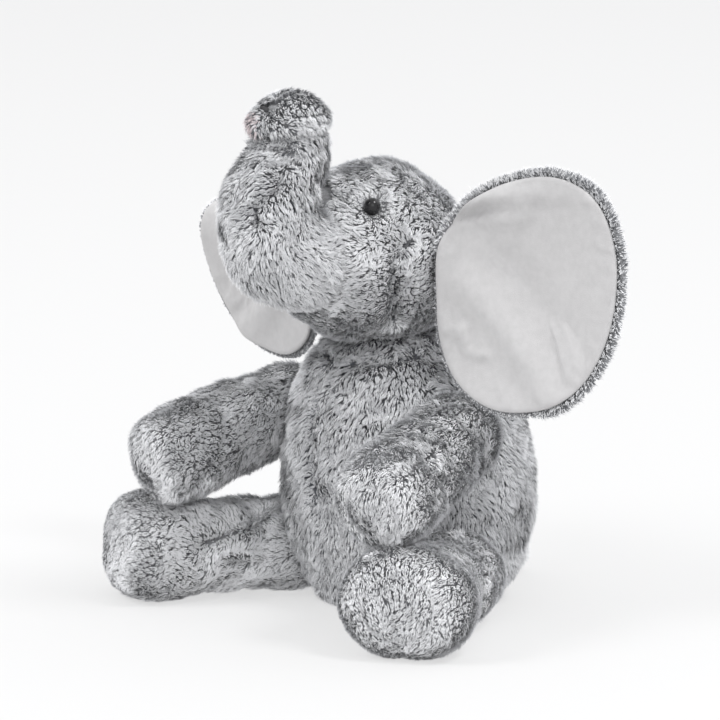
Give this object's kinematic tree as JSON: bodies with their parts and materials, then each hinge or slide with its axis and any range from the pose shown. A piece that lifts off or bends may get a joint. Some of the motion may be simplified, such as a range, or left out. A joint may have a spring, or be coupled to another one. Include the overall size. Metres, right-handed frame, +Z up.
{
  "type": "stuffed elephant",
  "caption": "Sitting stuffed elephant in frosted grey plush with a raised trunk, wide velour-lined ears, safety eyes, and sewn-on arms, legs and tail.",
  "frame": {"origin": "middle of the flat round seat panel, on the surface the toy sits on", "axes": "+Z up, -Y the way the toy faces, +X the toy's own left"},
  "size_m": [0.421, 0.2915, 0.3777],
  "materials": {
    "plush": "long-pile plush, mottled dark roots and pale silver tips",
    "ear_lining": "short-nap white velour",
    "trunk_tip": "short grey plush",
    "stuffing": "polyester fibre filling",
    "eye": "polished black",
    "washer": "moulded natural plastic"
  },
  "bodies": {
    "torso": {"body_front_left": "plush", "body_front_right": "plush", "body_back_left": "plush", "body_back_right": "plush", "seat_panel": "plush", "bean_bag": "stuffing", "body_stuffing": "stuffing"},
    "head": {"head_left_panel": "plush", "head_right_panel": "plush", "crown_gusset": "plush", "chin_gusset": "plush", "head_stuffing": "stuffing", "left_eye": "eye", "right_eye": "eye", "left_eye_washer": "washer", "right_eye_washer": "washer"},
    "trunk": {"trunk_left_panel": "plush", "trunk_right_panel": "plush", "trunk_tip": "trunk_tip", "trunk_stuffing": "stuffing"},
    "left_ear": {"left_ear_back": "plush", "left_ear_lining": "ear_lining"},
    "right_ear": {"right_ear_back": "plush", "right_ear_lining": "ear_lining"},
    "left_arm": {"left_arm_outer": "plush", "left_arm_inner": "plush", "left_paw_pad": "plush", "left_arm_stuffing": "stuffing"},
    "right_arm": {"right_arm_outer": "plush", "right_arm_inner": "plush", "right_paw_pad": "plush", "right_arm_stuffing": "stuffing"},
    "left_leg": {"left_leg_outer": "plush", "left_leg_inner": "plush", "left_foot_sole": "plush", "left_leg_stuffing": "stuffing"},
    "right_leg": {"right_leg_outer": "plush", "right_leg_inner": "plush", "right_foot_sole": "plush", "right_leg_stuffing": "stuffing"},
    "tail": {"tail": "plush", "tail_tuft": "plush"}
  },
  "joints": [
    {"name": "head_nod", "type": "hinge", "parent": "torso", "child": "head", "pos_m": [0, -0.035, 0.258], "axis": [1, 0, 0], "range_deg": [-6, 12], "stiffness_Nm_per_rad": 2.5},
    {"name": "trunk_bend", "type": "hinge", "parent": "head", "child": "trunk", "pos_m": [0, -0.114, 0.264], "axis": [1, 0, 0], "range_deg": [0, 25], "stiffness_Nm_per_rad": 1},
    {"name": "left_ear_flap", "type": "hinge", "parent": "head", "child": "left_ear", "pos_m": [0.0665, -0.044, 0.235], "axis": [0, 0.0958, 0.9954], "range_deg": [-10, 18], "stiffness_Nm_per_rad": 0.2},
    {"name": "right_ear_flap", "type": "hinge", "parent": "head", "child": "right_ear", "pos_m": [-0.0665, -0.031, 0.234], "axis": [0, 0.2334, -0.9724], "range_deg": [-10, 12], "stiffness_Nm_per_rad": 0.2},
    {"name": "left_arm_lift", "type": "hinge", "parent": "torso", "child": "left_arm", "pos_m": [0.0855, -0.041, 0.136], "axis": [-0.9682, -0.25, 0], "range_deg": [0, 25], "stiffness_Nm_per_rad": 0.3},
    {"name": "right_arm_lift", "type": "hinge", "parent": "torso", "child": "right_arm", "pos_m": [-0.0855, -0.041, 0.136], "axis": [-0.9682, 0.25, 0], "range_deg": [0, 25], "stiffness_Nm_per_rad": 0.3},
    {"name": "left_leg_swing", "type": "hinge", "parent": "torso", "child": "left_leg", "pos_m": [0.083, -0.042, 0.0335], "axis": [0, 0, 1], "range_deg": [-6, 15], "stiffness_Nm_per_rad": 0.5},
    {"name": "right_leg_swing", "type": "hinge", "parent": "torso", "child": "right_leg", "pos_m": [-0.083, -0.042, 0.0335], "axis": [0, 0, -1], "range_deg": [-6, 15], "stiffness_Nm_per_rad": 0.5},
    {"name": "tail_swing", "type": "hinge", "parent": "torso", "child": "tail", "pos_m": [0, 0.0945, 0.058], "axis": [1, 0, 0], "range_deg": [0, 35], "stiffness_Nm_per_rad": 0.02}
  ]
}
